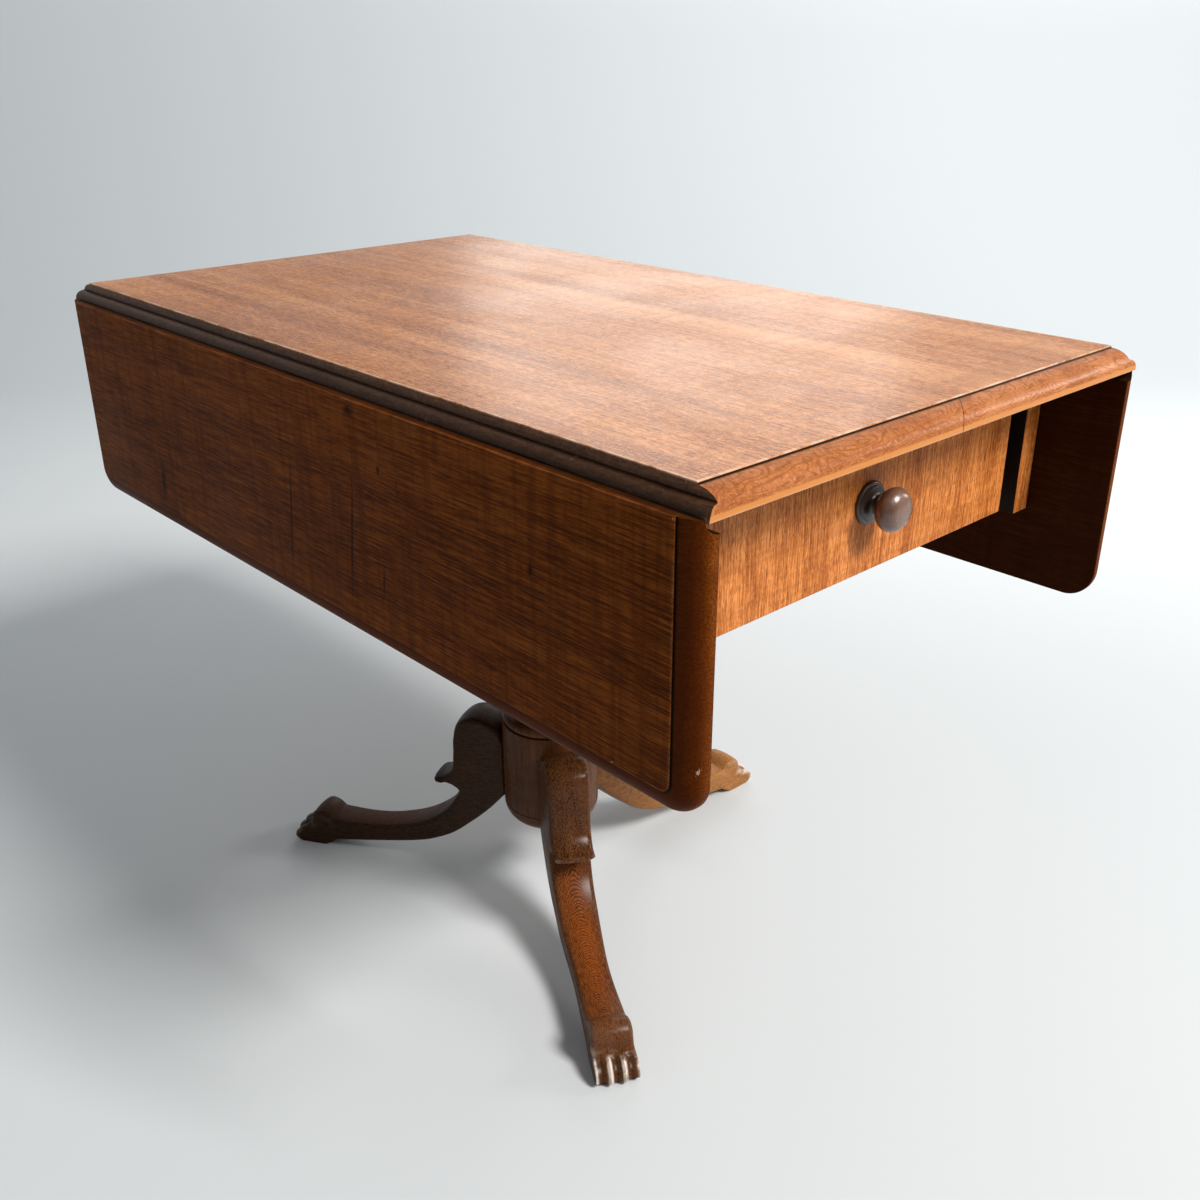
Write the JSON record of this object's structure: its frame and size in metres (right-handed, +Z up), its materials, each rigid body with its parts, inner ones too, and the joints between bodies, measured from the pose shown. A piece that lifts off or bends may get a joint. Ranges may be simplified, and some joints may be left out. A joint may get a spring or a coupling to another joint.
{
  "type": "pembroke table",
  "caption": "Drop-leaf table with a moulded top, hinged leaves on rule joints, a drawer with a turned knob, and a turned pedestal on a tripod of sabre legs.",
  "frame": {"origin": "on the floor, at the axis of the pedestal", "axes": "+Z up; the drawer end faces -Y; the leaf hinges run along Y, with one leaf on each of -X and +X; one leg points along +X"},
  "size_m": [0.6522, 1, 0.715],
  "materials": {
    "mahogany": "polished, worn",
    "dark_mahogany": "polished",
    "oak": "bare, aged",
    "iron": "dark"
  },
  "bodies": {
    "table_frame": {"back_rail": "oak", "block_screws": "iron", "column": "dark_mahogany", "drawer_stops": "oak", "drum_cap": "dark_mahogany", "fixed_top": "mahogany", "front_bearer": "oak", "front_cross_bearer": "oak", "front_left_leg": "dark_mahogany", "glue_blocks": "oak", "left_bracket_pins": "iron", "left_drawer_kicker": "oak", "left_drawer_runner": "oak", "left_front_fly_bracket": "oak", "left_hinge_pins": "iron", "left_hinge_top_flaps": "iron", "left_hinge_top_screws": "iron", "left_inner_rail": "oak", "left_kicker_screws": "iron", "left_outer_rail_front": "mahogany", "left_outer_rail_middle": "oak", "left_outer_rail_rear": "oak", "left_rear_fly_bracket": "oak", "pedestal_block": "oak", "rear_cross_bearer": "oak", "rear_left_leg": "dark_mahogany", "right_bracket_pins": "iron", "right_drawer_kicker": "oak", "right_drawer_runner": "oak", "right_front_fly_bracket": "oak", "right_hinge_pins": "iron", "right_hinge_top_flaps": "iron", "right_hinge_top_screws": "iron", "right_inner_rail": "oak", "right_kicker_screws": "iron", "right_leg": "dark_mahogany", "right_outer_rail_front": "mahogany", "right_outer_rail_middle": "oak", "right_outer_rail_rear": "oak", "right_rear_fly_bracket": "oak"},
    "left_leaf_body": {"left_leaf": "mahogany", "left_hinge_leaf_flaps": "iron", "left_hinge_leaf_screws": "iron"},
    "right_leaf_body": {"right_leaf": "mahogany", "right_hinge_leaf_flaps": "iron", "right_hinge_leaf_screws": "iron"},
    "drawer_body": {"drawer_front": "mahogany", "left_drawer_side": "oak", "right_drawer_side": "oak", "drawer_back": "oak", "drawer_bottom": "oak", "drawer_knob": "dark_mahogany"}
  },
  "joints": [
    {"name": "left_leaf_hinge", "type": "hinge", "parent": "table_frame", "child": "left_leaf_body", "pos_m": [-0.2758, 0, 0.6955], "axis": [0, 1, 0], "range_deg": [0, 90]},
    {"name": "right_leaf_hinge", "type": "hinge", "parent": "table_frame", "child": "right_leaf_body", "pos_m": [0.2758, 0, 0.6955], "axis": [0, -1, 0], "range_deg": [0, 90]},
    {"name": "drawer_slide", "type": "slide", "parent": "table_frame", "child": "drawer_body", "axis": [0, -1, 0], "range_m": [0, 0.33]}
  ]
}
